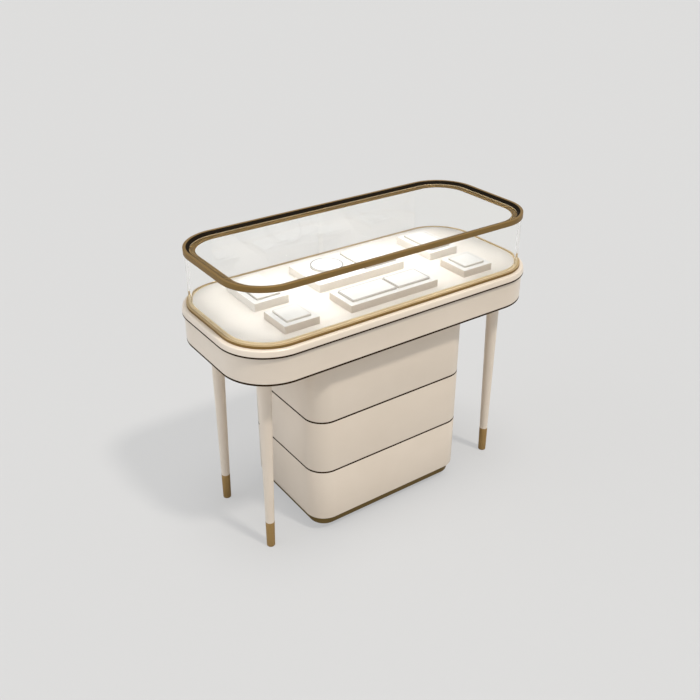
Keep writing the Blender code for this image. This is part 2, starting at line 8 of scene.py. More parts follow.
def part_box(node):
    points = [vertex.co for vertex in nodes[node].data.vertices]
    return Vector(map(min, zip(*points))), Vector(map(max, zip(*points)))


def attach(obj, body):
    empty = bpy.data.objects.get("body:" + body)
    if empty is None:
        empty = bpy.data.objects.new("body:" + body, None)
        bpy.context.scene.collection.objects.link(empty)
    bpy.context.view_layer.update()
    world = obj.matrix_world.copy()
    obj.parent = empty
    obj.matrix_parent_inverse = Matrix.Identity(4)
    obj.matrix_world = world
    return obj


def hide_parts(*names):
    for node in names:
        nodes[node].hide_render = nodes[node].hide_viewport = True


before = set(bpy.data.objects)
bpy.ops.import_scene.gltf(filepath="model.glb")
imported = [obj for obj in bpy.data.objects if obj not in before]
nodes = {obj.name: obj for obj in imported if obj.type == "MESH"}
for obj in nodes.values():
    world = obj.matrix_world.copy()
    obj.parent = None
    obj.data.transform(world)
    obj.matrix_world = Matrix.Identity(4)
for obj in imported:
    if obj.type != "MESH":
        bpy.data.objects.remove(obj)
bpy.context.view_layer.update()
scene = bpy.context.scene
print("frame loaded:", len(nodes), "nodes")

# objects and node trees


def addObject(name, data):
    made = bpy.data.objects.new(name, data)
    scene.collection.objects.link(made)
    return made


def addNode(tree, kind, **values):
    node = tree.nodes.new(kind)
    for key, value in values.items():
        if key in node.inputs:
            node.inputs[key].default_value = value
        else:
            setattr(node, key, value)
    return node


def reckon(tree, operation, *values):
    # one step of arithmetic on sockets and numbers
    node = addNode(tree, "ShaderNodeMath", operation=operation)
    for socket, value in zip(node.inputs, values):
        if isinstance(value, bpy.types.NodeSocket):
            tree.links.new(value, socket)
        else:
            socket.default_value = value
    return node.outputs[0]


def blendShaders(tree, share, first, second, out):
    mix = addNode(tree, "ShaderNodeMixShader")
    for socket, source in zip(mix.inputs, (share, first, second)):
        tree.links.new(source, socket)
    tree.links.new(mix.outputs[0], out.inputs["Surface"])


def startMaterial(name, **sockets):
    made = bpy.data.materials.new(name)
    made.use_nodes = True
    tree = made.node_tree
    shader = tree.nodes["Principled BSDF"]
    for key, value in sockets.items():
        shader.inputs[key.replace("_", " ")].default_value = value
    place = addNode(tree, "ShaderNodeTexCoord").outputs["Object"]
    return made, tree, shader, place


# camera, light and floor

view = {
    "azimuth": -35.10,
    "elevation": 29.17,
    "distance": 3.0390,
    "target": (-0.0266, 0.0270, 0.5341),
    "focalPixels": 849.42,
    "imageSize": 700,
    "sensor": 36.0,
    "near": 0.05,
    "far": 200,
}
studio = {
    "backdrop": (0.708, 0.708, 0.708),  # the grey behind the object
    "skyLevel": 0.54,
    "skyColor": (0.98, 0.99, 1.0),
    "sunFrom": (0.15, -0.45, 0.88),
    "sunStrength": 1.95,
    "sunAngle": 6.0,
    "sunColor": (1.0, 0.955, 0.89),
    "topFrom": (0.0, -0.02, 1.0),
    "topStrength": 1.3,
    "topAngle": 25.0,
    "topColor": (1.0, 0.985, 0.95),
    "fillFrom": (-0.88, 0.30, 0.30),
    "fillStrength": 1.05,
    "fillAngle": 60.0,
    "fillColor": (0.88, 0.93, 1.0),
    "casePlace": (0.0, 0.02, 0.986),
    "caseSize": (0.74, 0.20),
    "caseStrength": 0.80,
    "caseColor": (1.0, 0.98, 0.94),
    "floorColor": (0.48, 0.48, 0.48),
    "floorRoughness": 0.9,
    "floorSize": 60.0,
    "paperShare": 0.6,
}


def makeCamera(s):
    azimuth, elevation = math.radians(s["azimuth"]), math.radians(s["elevation"])
    level = math.cos(elevation)
    back = Vector((math.sin(azimuth) * level, -math.cos(azimuth) * level, math.sin(elevation)))
    data = bpy.data.cameras.new("photoCamera")
    data.sensor_width = s["sensor"]
    data.lens = s["focalPixels"] / s["imageSize"] * s["sensor"]
    data.clip_start, data.clip_end = s["near"], s["far"]
    camera = addObject("photoCamera", data)
    camera.location = Vector(s["target"]) + back * s["distance"]
    camera.rotation_euler = (-back).to_track_quat("-Z", "Y").to_euler()
    scene.camera = camera


def makeLamps(s):
    for name in ("sun", "top", "fill"):
        light = bpy.data.lights.new(name + "Light", "SUN")
        light.energy = s[name + "Strength"]
        light.angle = math.radians(s[name + "Angle"])
        light.color = s[name + "Color"]
        lamp = addObject(name + "Light", light)
        lamp.rotation_euler = Vector(s[name + "From"]).to_track_quat("Z", "Y").to_euler()
    light = bpy.data.lights.new("caseLight", "AREA")  # helps the strips under the rim
    light.shape = "RECTANGLE"
    light.size, light.size_y = s["caseSize"]
    light.energy, light.color = s["caseStrength"], s["caseColor"]
    lamp = addObject("caseLight", light)
    lamp.location = s["casePlace"]
    lamp.visible_camera = lamp.visible_glossy = lamp.visible_transmission = False


def makeWorld(s):
    # what is seen past the object is the plain grey, the sky only lights
    world = bpy.data.worlds.new("studio")
    scene.world = world
    world.use_nodes = True
    tree = world.node_tree
    tree.nodes.clear()
    rays = addNode(tree, "ShaderNodeLightPath").outputs
    seen = reckon(tree, "MAXIMUM", rays["Is Camera Ray"], rays["Is Glossy Ray"])
    through = reckon(tree, "MAXIMUM", seen, rays["Is Transmission Ray"])
    sky = addNode(tree, "ShaderNodeBackground", Color=(*s["skyColor"], 1), Strength=s["skyLevel"])
    plain = addNode(tree, "ShaderNodeBackground", Color=(*s["backdrop"], 1), Strength=1.0)
    out = addNode(tree, "ShaderNodeOutputWorld")
    blendShaders(tree, through, sky.outputs[0], plain.outputs[0], out)


def makeFloor(s):
    half = s["floorSize"] / 2
    corners = [(-half, -half, 0), (half, -half, 0), (half, half, 0), (-half, half, 0)]
    mesh = bpy.data.meshes.new("studioFloor")
    mesh.from_pydata(corners, [], [(0, 1, 2, 3)])
    floor = addObject("studioFloor", mesh)
    paper, tree, shader, _ = startMaterial(
        "studioPaper",
        Base_Color=(*s["floorColor"], 1),
        Roughness=s["floorRoughness"],
        Specular_IOR_Level=0.0,
    )
    # to the camera the paper is partly its own grey, so the shadow stays soft
    seen = addNode(tree, "ShaderNodeLightPath").outputs["Is Camera Ray"]
    share = reckon(tree, "MULTIPLY", seen, s["paperShare"])
    plain = addNode(tree, "ShaderNodeEmission", Color=(*s["backdrop"], 1), Strength=1.0)
    blendShaders(tree, share, shader.outputs[0], plain.outputs[0], tree.nodes["Material Output"])
    mesh.materials.append(paper)


makeCamera(view)
makeLamps(studio)
makeWorld(studio)
makeFloor(studio)
scene.view_settings.view_transform = "Standard"
print("camera and studio ready")

# finishes


def noise(tree, place, scale, detail=2.0, roughness=0.5, stretch=None):
    if stretch:
        turn = addNode(tree, "ShaderNodeMapping", Scale=stretch)
        tree.links.new(place, turn.inputs["Vector"])
        place = turn.outputs[0]
    made = addNode(tree, "ShaderNodeTexNoise", Scale=scale, Detail=detail, Roughness=roughness)
    tree.links.new(place, made.inputs["Vector"])
    return made.outputs["Fac"]


def ramp(tree, value, low, high, start=0.3, end=0.7):
    made = addNode(tree, "ShaderNodeMapRange")
    made.inputs["From Min"].default_value = start
    made.inputs["From Max"].default_value = end
    made.inputs["To Min"].default_value = low
    made.inputs["To Max"].default_value = high
    tree.links.new(value, made.inputs["Value"])
    return made.outputs["Result"]


def tint(tree, value, first, second):
    # mixes two colours, each of them a tuple or a socket
    made = addNode(tree, "ShaderNodeMix", data_type="RGBA")
    for socket, color in ((made.inputs[6], first), (made.inputs[7], second)):
        if isinstance(color, bpy.types.NodeSocket):
            tree.links.new(color, socket)
        else:
            socket.default_value = (*color, 1)
    tree.links.new(value, made.inputs[0])
    return made.outputs[2]


def axesOf(tree, vector):
    made = addNode(tree, "ShaderNodeSeparateXYZ")
    tree.links.new(vector, made.inputs[0])
    return made.outputs


def surface(tree, shader, color, rough, height=None, strength=0.0, distance=0.0):
    tree.links.new(color, shader.inputs["Base Color"])
    tree.links.new(rough, shader.inputs["Roughness"])
    if height:
        bump = addNode(tree, "ShaderNodeBump", Strength=strength, Distance=distance)
        tree.links.new(height, bump.inputs["Height"])
        tree.links.new(bump.outputs[0], shader.inputs["Normal"])


def creamLacquer(name, first, second, edging=None, face=0.0, drop=0.0002):
    made, tree, shader, place = startMaterial(name, Coat_Weight=0.25, Coat_Roughness=0.12)
    cloud = noise(tree, place, scale=3.5, detail=3.0)
    color = tint(tree, ramp(tree, cloud, 0.0, 1.0), first, second)
    if edging:  # strip along the edge, just below the face, in a painted colour: on the deck a painted glow on its shaded edge
        flat = reckon(tree, "GREATER_THAN", axesOf(tree, place)[2], face - drop)
        color = tint(tree, flat, edging, color)
    rough = ramp(tree, noise(tree, place, scale=45, detail=4.0), 0.30, 0.40)
    peel = noise(tree, place, scale=520)  # orange peel of the spray
    surface(tree, shader, color, rough, peel, strength=0.05, distance=0.0004)
    return made


def satinBrass(name, metal, first, second, linesPerMetre=2600.0, wander=9.0):
    # brushed along the section that the attribute "across" measures
    made, tree, shader, place = startMaterial(name, Metallic=metal)
    across = addNode(tree, "ShaderNodeAttribute", attribute_name="across").outputs["Fac"]
    lane = addNode(tree, "ShaderNodeCombineXYZ")
    tree.links.new(reckon(tree, "MULTIPLY", across, linesPerMetre), lane.inputs[0])
    drift = addNode(tree, "ShaderNodeVectorMath", operation="MULTIPLY_ADD")
    drift.inputs[1].default_value = (wander, wander, wander)
    tree.links.new(place, drift.inputs[0])
    tree.links.new(lane.outputs[0], drift.inputs[2])
    brushed = noise(tree, drift.outputs[0], scale=1.0, detail=3.0, roughness=0.6)
    smear = noise(tree, place, scale=14, detail=3.0)
    blend = reckon(tree, "ADD", ramp(tree, brushed, 0.0, 0.75), ramp(tree, smear, 0.0, 0.25))
    rough = ramp(tree, blend, 0.46, 0.60, start=0.0, end=1.0)
    surface(tree, shader, tint(tree, blend, first, second), rough, brushed, strength=0.10, distance=0.0002)
    return made


def darkBronze(name, first, second):
    made, tree, shader, place = startMaterial(name, Specular_IOR_Level=0.02)
    cloud = noise(tree, place, scale=30, detail=4.0)
    color = tint(tree, ramp(tree, cloud, 0.0, 1.0), first, second)
    rough = ramp(tree, noise(tree, place, scale=220), 0.36, 0.50)
    surface(tree, shader, color, rough, noise(tree, place, scale=700), strength=0.05, distance=0.0003)
    return made


def clearGlass(name, passed, polish=0.0):
    made, tree, shader, _ = startMaterial(
        name,
        Base_Color=(0.995, 0.998, 0.996, 1),
        Roughness=0.0,
        IOR=1.02,
        Transmission_Weight=1.0,
        Coat_Weight=polish,  # mirrors the lit deck
        Coat_Roughness=0.04,
        Coat_IOR=2.0,
    )
    # lamps reach what stands behind the glass
    shadow = addNode(tree, "ShaderNodeLightPath").outputs["Is Shadow Ray"]
    clear = addNode(tree, "ShaderNodeBsdfTransparent", Color=(passed, passed, passed * 0.99, 1))
    blendShaders(tree, shadow, shader.outputs[0], clear.outputs[0], tree.nodes["Material Output"])
    return made


def softSuede(name, first, second):
    made, tree, shader, place = startMaterial(name, Sheen_Weight=0.12, Sheen_Roughness=0.5)
    nap = noise(tree, place, scale=1500, detail=3.0, roughness=0.6)
    cloud = noise(tree, place, scale=26, detail=3.0)
    both = reckon(tree, "MULTIPLY_ADD", nap, 0.6, ramp(tree, cloud, 0.0, 0.4))
    rough = ramp(tree, nap, 0.66, 0.82)
    surface(tree, shader, tint(tree, both, first, second), rough, nap, strength=0.22, distance=0.0004)
    return made


def grained(name, first, second, rough, scale, detail, roughness=0.5, stretch=None, bump=None, **sockets):
    # one grain drives colour, roughness and relief
    made, tree, shader, place = startMaterial(name, **sockets)
    grain = noise(tree, place, scale, detail, roughness, stretch)
    color = tint(tree, ramp(tree, grain, 0.0, 1.0), first, second)
    relief = (grain, *bump) if bump else ()
    surface(tree, shader, color, ramp(tree, grain, *rough), *relief)
    return made


boxPly = {
    "middle": -0.016,  # of the drawer boxes along the counter
    "sideWall": 0.2335,  # further out than this stand the side walls
    "plyTurns": 3800.0,
    "upward": 0.5,
    "face": ((0.56, 0.42, 0.27), (0.70, 0.56, 0.39)),
    "plies": ((0.30, 0.19, 0.10), (0.66, 0.52, 0.35)),
}


def birchPly(s):
    # the walls show face grain, and their upper edges show the plies
    made, tree, shader, place = startMaterial("birchPly")
    grain = noise(tree, place, scale=1.0, detail=5.0, roughness=0.6, stretch=(60, 5, 60))
    face = tint(tree, ramp(tree, grain, 0.0, 1.0), *s["face"])
    axes = axesOf(tree, place)
    reach = reckon(tree, "ABSOLUTE", reckon(tree, "ADD", axes[0], -s["middle"]))
    across = addNode(tree, "ShaderNodeMix", data_type="FLOAT")
    tree.links.new(reckon(tree, "GREATER_THAN", reach, s["sideWall"]), across.inputs[0])
    tree.links.new(axes[1], across.inputs[2])
    tree.links.new(axes[0], across.inputs[3])
    wave = reckon(tree, "SINE", reckon(tree, "MULTIPLY", across.outputs[0], s["plyTurns"]))
    edge = tint(tree, ramp(tree, wave, 0.0, 1.0, start=-0.5, end=0.5), *s["plies"])
    normal = addNode(tree, "ShaderNodeNewGeometry").outputs["True Normal"]
    up = reckon(tree, "GREATER_THAN", axesOf(tree, normal)[2], s["upward"])
    rough = ramp(tree, grain, 0.42, 0.56)
    surface(tree, shader, tint(tree, up, face, edge), rough, grain, strength=0.12, distance=0.0004)
    return made


def stripGlow(name, power, diodePitch=0.0167):
    # milky lens, a little brighter under each diode
    made, tree, shader, place = startMaterial(
        name, Base_Color=(0.9, 0.88, 0.84, 1), Roughness=0.4, Emission_Strength=power
    )
    turn = reckon(tree, "MULTIPLY", axesOf(tree, place)[0], 2 * math.pi / diodePitch)
    share = ramp(tree, reckon(tree, "COSINE", turn), 0.0, 1.0, start=-1, end=1)
    light = tint(tree, share, (0.94, 0.89, 0.81), (1.0, 0.97, 0.91))
    tree.links.new(light, shader.inputs["Emission Color"])
    return made


lacquer = creamLacquer("creamLacquer", (0.665, 0.575, 0.475), (0.705, 0.615, 0.515))
deckFinish = creamLacquer(
    "deckLacquer",
    (0.655, 0.617, 0.563),
    (0.695, 0.657, 0.608),
    edging=(0.92, 0.80, 0.58),  # painted pale-gold glow on the deck's shaded edge
    face=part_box("display_deck")[1].z,
)
underside = creamLacquer("undersidePaint", (0.60, 0.52, 0.43), (0.65, 0.57, 0.475))
brass = satinBrass("satinBrass", 0.75, (0.196, 0.118, 0.035), (0.255, 0.159, 0.054))
footBrass = satinBrass("footBrass", 0.45, (0.295, 0.180, 0.058), (0.375, 0.238, 0.085))
# darker brass copy: painted shade on the plinth near the floor
plinthBrass = satinBrass("plinthBrass", 0.75, (0.140, 0.092, 0.026), (0.190, 0.128, 0.042))
# lighter brass copy: painted highlight on the channel's upward faces and its rib
brightBrass = satinBrass("brightBrass", 0.35, (0.40, 0.28, 0.135), (0.48, 0.35, 0.185))
# pale brass copy: painted light in the shaded groove under the glass, and a painted reflection in the pane's
# edge
paleBrass = satinBrass("paleBrass", 0.10, (0.70, 0.56, 0.35), (0.78, 0.64, 0.42))
bronze = darkBronze("darkBronze", (0.026, 0.014, 0.006), (0.040, 0.023, 0.011))
glass = clearGlass("clearGlass", 0.50)
paneGlass = clearGlass("paneGlass", 0.36)
doorGlass = clearGlass("doorGlass", 0.50, polish=0.7)
glassEdge = grained(
    "groundEdge",
    (0.96, 0.98, 0.97),
    (0.985, 0.995, 0.99),
    rough=(0.10, 0.20),
    scale=400,
    detail=3.0,
    Transmission_Weight=0.96,
    IOR=1.03,
)
rubber = grained(
    "blackRubber",
    (0.006, 0.004, 0.002),
    (0.014, 0.010, 0.006),
    rough=(0.50, 0.66),
    scale=900,
    detail=3.0,
    bump=(0.15, 0.0003),
    Specular_IOR_Level=0.02,
)
# riser sides: the darker cream is painted shade on the front row, the paler cream painted light on the back row
shadePaintedSuede = softSuede("creamSuede", (0.545, 0.475, 0.395), (0.595, 0.525, 0.450))
paleSuede = softSuede("paleSuede", (0.660, 0.615, 0.555), (0.705, 0.665, 0.610))
padSuede = softSuede("whiteSuede", (0.580, 0.572, 0.552), (0.620, 0.612, 0.594))
# grey copies of the suede: painted shade on the pads' sides and a painted shade ring round their tops
piping = softSuede("greyPiping", (0.465, 0.430, 0.385), (0.525, 0.490, 0.445))
linePiping = softSuede("linePiping", (0.270, 0.255, 0.230), (0.320, 0.300, 0.275))
paintedSlateShade = softSuede("paintedSlateShade", (0.180, 0.180, 0.182), (0.210, 0.210, 0.212))
ply = birchPly(boxPly)
board = grained(
    "boardBirch",
    (0.53, 0.40, 0.26),
    (0.68, 0.54, 0.37),
    rough=(0.45, 0.60),
    scale=1.0,
    detail=5.0,
    roughness=0.6,
    stretch=(6, 70, 70),
    bump=(0.12, 0.0004),
)
aluminium = grained(
    "driverAluminium",
    (0.46, 0.46, 0.47),
    (0.62, 0.62, 0.63),
    rough=(0.28, 0.44),
    scale=1.0,
    detail=4.0,
    roughness=0.6,
    stretch=(1800, 12, 1800),
    bump=(0.08, 0.0002),
    Metallic=0.9,
)
glow = {"front": stripGlow("frontGlow", 9.0), "rear": stripGlow("rearGlow", 14.0)}
print("finishes ready:", len(bpy.data.materials))

# shapes shared by the pieces

sharpAngle = math.radians(32)  # steeper edges stay crisp


def roundedPath(length, depth, corner, steps):
    # x, y and the outward direction at each point, counter-clockwise from the +X side
    points = []
    for index, (sx, sy) in enumerate(((1, 1), (-1, 1), (-1, -1), (1, -1))):
        cx, cy = sx * (length / 2 - corner), sy * (depth / 2 - corner)
        for step in range(steps + 1):
            angle = math.pi / 2 * (index + step / steps)
            nx, ny = math.cos(angle), math.sin(angle)
            points.append((cx + corner * nx, cy + corner * ny, nx, ny))
    return points


def softened(corners, steps=3):
    # section with each (a, b, radius) corner rounded off
    made = []
    count = len(corners)
    for i, (a, b, radius) in enumerate(corners):
        here = Vector((a, b))
        if radius <= 0:
            made.append(here)
            continue
        before = (Vector(corners[i - 1][:2]) - here).normalized()
        after = (Vector(corners[(i + 1) % count][:2]) - here).normalized()
        half = before.angle(after) / 2
        reach = radius / math.tan(half)
        centre = here + (before + after).normalized() * (radius / math.sin(half))
        first, last = here + before * reach - centre, here + after * reach - centre
        turn = first.angle_signed(last)
        for step in range(steps + 1):
            made.append(centre + Matrix.Rotation(-turn * step / steps, 2) @ first)
    return made


def rimSection(setback, low, high, ease):
    return [(setback + ease, low), (setback, low + ease), (setback, high - ease), (setback + ease, high)]


def lengths(section):
    run, made = 0.0, []
    for i, point in enumerate(section):
        if i:
            run += (point - section[i - 1]).length
        made.append(run)
    return made


def meshFrom(name, bm, material, across=None):
    bmesh.ops.recalc_face_normals(bm, faces=bm.faces)
    mesh = bpy.data.meshes.new(name)
    bm.to_mesh(mesh)
    bm.free()
    mesh.materials.append(material)
    if across:
        mesh.attributes.new("across", "FLOAT", "POINT").data.foreach_set("value", across)
    return mesh


def loftLoops(name, loops, material, across=None):
    # skin over rings of points, closed by the first and the last ring
    bm = bmesh.new()
    rows = [[bm.verts.new(p) for p in loop] for loop in loops]
    count = len(rows[0])
    for low, high in zip(rows, rows[1:]):
        for i in range(count):
            j = (i + 1) % count
            bm.faces.new((low[i], low[j], high[j], high[i]))
    bm.faces.new(list(reversed(rows[0])))
    bm.faces.new(rows[-1])
    values = [across[r] for r in range(len(rows)) for _ in range(count)] if across else None
    return meshFrom(name, bm, material, values)


def plateMesh(name, path, section, material):
    # solid slab whose rim follows section, from its lower to its upper edge
    loops = [[(x - nx * s, y - ny * s, z) for x, y, nx, ny in path] for s, z in section]
    return loftLoops(name, loops, material)


def turnedMesh(name, section, material, steps=56):
    angles = [2 * math.pi * i / steps for i in range(steps)]
    loops = [[(radius * math.cos(a), radius * math.sin(a), z) for a in angles] for radius, z in section]
    return loftLoops(name, loops, material, lengths([Vector(p) for p in section]))


def openSweep(name, path, section, material):
    # section of (setback, z) carried along an open path, with flat ends
    loops = [[(x - nx * p[0], y - ny * p[0], p[1]) for p in section] for x, y, nx, ny in path]
    return loftLoops(name, loops, material)


def boxMesh(name, low, high, material, ease=0.0):
    bm = bmesh.new()
    bmesh.ops.create_cube(bm, size=1.0)
    for v in bm.verts:
        for k in range(3):
            v.co[k] = (low[k] + high[k]) / 2 + v.co[k] * (high[k] - low[k])
    if ease:
        bmesh.ops.bevel(bm, geom=bm.edges[:], offset=ease, segments=2, affect="EDGES", profile=0.5)
    return meshFrom(name, bm, material)


def joined(name, *meshes):
    bm = bmesh.new()
    slots = []
    for mesh in meshes:
        for m in mesh.materials:
            if m not in slots:
                slots.append(m)
        order = [slots.index(m) for m in mesh.materials]
        start = len(bm.faces)
        bm.from_mesh(mesh)
        bm.faces.ensure_lookup_table()
        for face in bm.faces[start:]:
            face.material_index = order[face.material_index]
    made = bpy.data.meshes.new(name)
    bm.to_mesh(made)
    bm.free()
    for m in slots:
        made.materials.append(m)
    for mesh in meshes:
        bpy.data.meshes.remove(mesh)
    return made


def baked(name, holder):
    # plain mesh of an object with its modifiers, which then go
    graph = bpy.context.evaluated_depsgraph_get()
    made = bpy.data.meshes.new_from_object(holder.evaluated_get(graph))
    made.name = name
    holder.modifiers.clear()
    bpy.data.objects.remove(holder)
    return made


def cutBy(name, mesh, *tools):
    holder = addObject(name + "Blank", mesh)
    helpers = []
    for tool in tools:
        helper = addObject(name + "Cutter", tool)
        step = holder.modifiers.new("cut", "BOOLEAN")
        step.operation, step.solver, step.object = "DIFFERENCE", "EXACT", helper
        helpers.append(helper)
    made = baked(name, holder)
    for helper in helpers:
        bpy.data.objects.remove(helper)
    return made


def paintFaces(mesh, finish, chosen):
    mesh.materials.append(finish)
    for face in mesh.polygons:
        if chosen(face):
            face.material_index = len(mesh.materials) - 1


def settle(name, mesh, body, slot, *replaced):
    mesh.shade_smooth()
    mesh.set_sharp_from_angle(angle=sharpAngle)
    piece = addObject(name, mesh)
    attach(piece, body)
    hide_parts(*replaced)


def dress(node, finish):
    # a CAD piece that keeps its shape
    mesh = nodes[node].data
    mesh.materials.clear()
    mesh.materials.append(finish)


def roundedFrameTree():
    # carries a section round a rounded rectangle; the section is the object's own mesh
    tree = bpy.data.node_groups.new("roundedFrame", "GeometryNodeTree")
    face = tree.interface
    face.new_socket("Section", in_out="INPUT", socket_type="NodeSocketGeometry")
    keys = {}
    for label, kind in (
        ("Length", "Float"),
        ("Depth", "Float"),
        ("Corner", "Float"),
        ("Corner Steps", "Int"),
        ("Finish", "Material"),
    ):
        keys[label] = face.new_socket(label, in_out="INPUT", socket_type="NodeSocket" + kind).identifier
    face.new_socket("Frame", in_out="OUTPUT", socket_type="NodeSocketGeometry")
    source, result = addNode(tree, "NodeGroupInput"), addNode(tree, "NodeGroupOutput")
    edge = addNode(tree, "GeometryNodeCurvePrimitiveQuadrilateral")
    bend = addNode(tree, "GeometryNodeFilletCurve", mode="POLY")
    upright = addNode(tree, "GeometryNodeSetCurveNormal", mode="Z_UP")
    outline = addNode(tree, "GeometryNodeMeshToCurve")
    skin = addNode(tree, "GeometryNodeCurveToMesh")
    real = addNode(tree, "GeometryNodeRealizeInstances")
    paint = addNode(tree, "GeometryNodeSetMaterial")
    for a, b in (
        (source.outputs["Length"], edge.inputs["Width"]),
        (source.outputs["Depth"], edge.inputs["Height"]),
        (edge.outputs[0], bend.inputs["Curve"]),
        (source.outputs["Corner Steps"], bend.inputs["Count"]),
        (source.outputs["Corner"], bend.inputs["Radius"]),
        (bend.outputs[0], upright.inputs["Curve"]),
        (source.outputs["Section"], outline.inputs["Mesh"]),
        (upright.outputs[0], skin.inputs["Curve"]),
        (outline.outputs[0], skin.inputs["Profile Curve"]),
        (skin.outputs[0], real.inputs[0]),
        (real.outputs[0], paint.inputs["Geometry"]),
        (source.outputs["Finish"], paint.inputs["Material"]),
        (paint.outputs[0], result.inputs[0]),
    ):
        tree.links.new(a, b)
    return tree, keys


frameTree, frameKeys = roundedFrameTree()


def frameMesh(name, section, outline, material):
    area = sum(p.x * q.y - q.x * p.y for p, q in zip(section, section[1:] + section[:1]))
    if area < 0:
        section = list(reversed(section))
    count = len(section)
    mesh = bpy.data.meshes.new(name + "Section")
    mesh.from_pydata([(-p.x, -p.y, 0) for p in section], [(i, (i + 1) % count) for i in range(count)], [])
    mesh.attributes.new("across", "FLOAT", "POINT").data.foreach_set("value", lengths(section))
    holder = addObject(name + "Section", mesh)
    step = holder.modifiers.new("frame", "NODES")
    step.node_group = frameTree
    step[frameKeys["Length"]] = outline["length"]
    step[frameKeys["Depth"]] = outline["depth"]
    step[frameKeys["Corner"]] = outline["corner"]
    step[frameKeys["Corner Steps"]] = outline["steps"]
    step[frameKeys["Finish"]] = material
    made = baked(name, holder)
    made.transform(Matrix.Translation((outline["shift"], 0, 0)))
    return made


tableOutline = {"length": 1.2, "depth": 0.552, "corner": 0.17, "steps": 28, "shift": 0.0}
pedestalOutline = {"length": 0.642, "depth": 0.447, "corner": 0.0715, "steps": 20, "shift": -0.016}


def pathOf(outline):
    points = roundedPath(outline["length"], outline["depth"], outline["corner"], outline["steps"])
    return [(x + outline["shift"], y, nx, ny) for x, y, nx, ny in points]


def fromRear(path, outline):
    # the same path, opened along its rear side
    start = outline["steps"] + 1
    return path[start:] + path[:start]


tablePath = pathOf(tableOutline)
pedestalPath = pathOf(pedestalOutline)
straightHalf = 0.43  # where the bends of the table outline begin


def setbackOf(point):
    # how far a point near the rim of the table lies inside its outline
    corner = tableOutline["corner"]
    across = max(abs(point.x) - tableOutline["length"] / 2 + corner, 0.0)
    along = max(abs(point.y) - tableOutline["depth"] / 2 + corner, 0.0)
    return corner - math.hypot(across, along)


# table top, apron and their dark lines

table = {"inner": 0.02605, "lean": 0.004, "round": 0.006, "lowerEase": 0.0012, "steps": 8}


def makeTable(s):
    low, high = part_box("table_top")
    corners = [
        (s["inner"], low.z, 0),
        (s["inner"], high.z, 0),
        (s["lean"], high.z, s["round"]),
        (0.0, low.z, s["lowerEase"]),
    ]
    mesh = frameMesh("tableTop", softened(corners, s["steps"]), tableOutline, lacquer)
    settle("tableTop", mesh, "showcase", "cream_lacquer", "table_top")


apron = {"setback": 0.0065, "ease": 0.0007, "lineEase": 0.0002, "upperLine": 0.0005, "downward": -0.9}
lineSpill = {"upper": 0.0003, "lower": 0.0011}  # the dark lines fill the shadow gaps beside them


def makeApron(s):
    low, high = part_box("apron_band")
    mesh = plateMesh("apronBand", tablePath, rimSection(s["setback"], low.z, high.z, s["ease"]), lacquer)
    settle("apronBand", mesh, "showcase", "cream_lacquer", "apron_band")
    for line, setback in (("upper", s["upperLine"]), ("lower", s["setback"])):
        low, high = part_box(f"apron_{line}_line")
        spill = lineSpill[line]
        name = f"apron{line.capitalize()}Line"
        section = rimSection(setback, low.z - spill, high.z + spill, s["lineEase"])
        mesh = plateMesh(name, tablePath, section, bronze)
        if line == "lower":
            paintFaces(mesh, underside, lambda face: face.normal.z < s["downward"])
        settle(name, mesh, "showcase", "dark_line", f"apron_{line}_line")


makeTable(table)
makeApron(apron)
print("table top, apron and lines made")

# brass channel, rim, seal, top pane and the glass wall

channel = {
    "outer": 0.0162,
    "round": 0.0012,
    "trackOuter": 0.0249,
    "trackInner": 0.0355,
    "inner": 0.0365,
    "floor": 0.0075,
    "innerEase": 0.0002,
    "trackEase": 0.0003,
    "landEase": 0.0004,
    "footEase": 0.0003,
    "upward": 0.4,
}
rib = {"half": 0.4285, "low": 0.2451, "high": 0.2465, "sink": 0.0003, "rise": 0.001, "ease": 0.0002}


def makeChannel(s):
    low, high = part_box("glass_base_channel")
    floor = low.z + s["floor"]
    corners = [
        (s["inner"], low.z, 0),
        (s["inner"], high.z, s["innerEase"]),
        (s["trackInner"], high.z, s["trackEase"]),
        (s["trackInner"], floor, 0),
        (s["trackOuter"], floor, 0),
        (s["trackOuter"], high.z, s["landEase"]),
        (s["outer"], high.z, s["round"]),
        (s["outer"], low.z, s["footEase"]),
    ]
    ring = frameMesh("baseChannel", softened(corners), tableOutline, brass)
    groove = caseGlass["outer"] - s["landEase"]  # the part under the glass takes painted light: a pale brass copy where the glass shades it
    # upward faces take the lighter brass, a painted highlight
    paintFaces(ring, brightBrass, lambda face: face.normal.z > s["upward"])
    paintFaces(ring, paleBrass, lambda face: setbackOf(face.center) > groove)
    near, far = (-rib["half"], rib["low"], floor - rib["sink"]), (rib["half"], rib["high"], high.z)
    bar = boxMesh("channelRib", near, far, brightBrass, rib["ease"])
    settle("baseChannel", joined("baseChannel", ring, bar), "showcase", "brushed_brass", "glass_base_channel")


rim = {
    "outer": 0.0215,
    "brow": 0.031,
    "step": 0.0396,
    "inner": 0.060,
    "foot": 0.9897,
    "groove": 0.9977,
    "ledge": 0.9939,
    "slopeFoot": 0.999,
    "top": 1.0085,
    "trackEase": 0.0003,
    "lipRound": 0.0010,
    "ledgeEase": 0.0005,
    "browRound": 0.0012,
    "topRound": 0.0016,
    "footRound": 0.0009,
    "lightOuter": 0.0426,
    "lightInner": 0.0512,
    "lightRoof": 0.9922,
    "lightDrop": 0.01,
}


